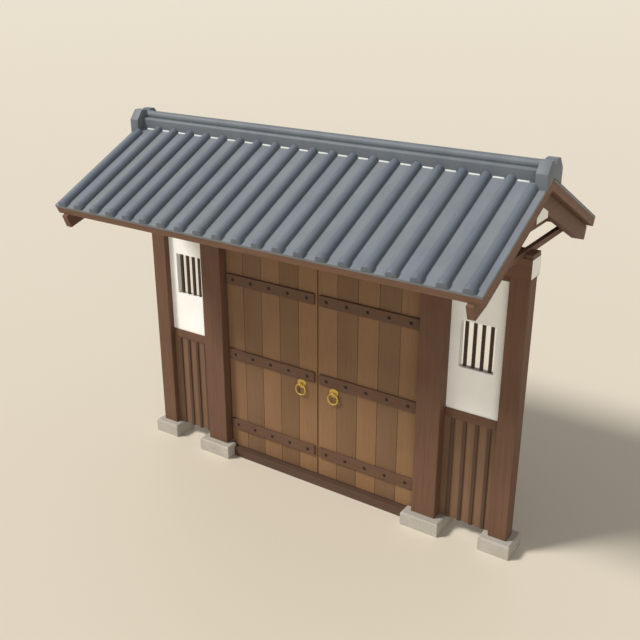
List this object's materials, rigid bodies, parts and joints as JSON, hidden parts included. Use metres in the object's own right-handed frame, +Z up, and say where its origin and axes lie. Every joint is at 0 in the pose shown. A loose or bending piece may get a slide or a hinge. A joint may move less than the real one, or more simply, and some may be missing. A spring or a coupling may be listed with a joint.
{
  "type": "roofed wooden gate",
  "caption": "Roofed wooden gate with inward swinging boarded leaves, plastered side bays and a tiled gable roof on a post and beam frame.",
  "frame": {"origin": "middle of the sill's underside, at ground level", "axes": "+X along the gate to the right seen from the front, +Y to the rear, +Z up"},
  "size_m": [3.836, 2.1996, 3.207],
  "materials": {
    "frame_wood": "satin stain",
    "roof_edge_wood": "satin stain",
    "door_boards": "satin stain",
    "door_battens": "satin stain",
    "wainscot_wood": "satin stain",
    "lime_plaster": "matte",
    "plinth_stone": "rough",
    "roof_tile": "smoked matte",
    "pull_brass": "worn satin"
  },
  "bodies": {
    "root": {"bay_rails": "frame_wood", "cross_arms": "frame_wood", "eave_purlins": "frame_wood", "fascias": "roof_edge_wood", "front_bargeboards": "roof_edge_wood", "front_rafters": "frame_wood", "front_roof_deck": "roof_edge_wood", "front_tile_bed": "roof_tile", "front_tile_rolls": "roof_tile", "king_posts": "frame_wood", "left_inner_plinth": "plinth_stone", "left_inner_post": "frame_wood", "left_outer_plinth": "plinth_stone", "left_outer_post": "frame_wood", "left_plaster_panel": "lime_plaster", "left_wainscot": "wainscot_wood", "main_beam": "frame_wood", "rear_bargeboards": "roof_edge_wood", "rear_rafters": "frame_wood", "rear_roof_deck": "roof_edge_wood", "rear_tile_bed": "roof_tile", "rear_tile_rolls": "roof_tile", "ridge_beam": "frame_wood", "ridge_box": "roof_tile", "ridge_ornaments": "roof_tile", "ridge_roll": "roof_tile", "right_inner_plinth": "plinth_stone", "right_inner_post": "frame_wood", "right_outer_plinth": "plinth_stone", "right_outer_post": "frame_wood", "right_plaster_panel": "lime_plaster", "right_wainscot": "wainscot_wood", "sill": "frame_wood", "top_plates": "frame_wood", "upper_ties": "frame_wood", "wainscot_battens": "wainscot_wood"},
    "left_door": {"left_leaf_boards": "door_boards", "left_leaf_battens": "door_battens", "left_pull_plate": "pull_brass"},
    "left_ring": {"left_pull_ring": "pull_brass"},
    "right_door": {"right_leaf_boards": "door_boards", "right_leaf_battens": "door_battens", "right_pull_plate": "pull_brass"},
    "right_ring": {"right_pull_ring": "pull_brass"}
  },
  "joints": [
    {"name": "left_door_hinge", "type": "hinge", "parent": "root", "child": "left_door", "pos_m": [-0.965, -0.005, 0.093], "axis": [0, 0, 1], "range_deg": [0, 90]},
    {"name": "right_door_hinge", "type": "hinge", "parent": "root", "child": "right_door", "pos_m": [0.965, -0.005, 0.093], "axis": [0, 0, -1], "range_deg": [0, 90]},
    {"name": "left_ring_hinge", "type": "hinge", "parent": "left_door", "child": "left_ring", "pos_m": [-0.17, -0.047, 0.961], "axis": [-1, 0, 0], "range_deg": [0, 150]},
    {"name": "right_ring_hinge", "type": "hinge", "parent": "right_door", "child": "right_ring", "pos_m": [0.17, -0.047, 0.961], "axis": [-1, 0, 0], "range_deg": [0, 150]}
  ]
}
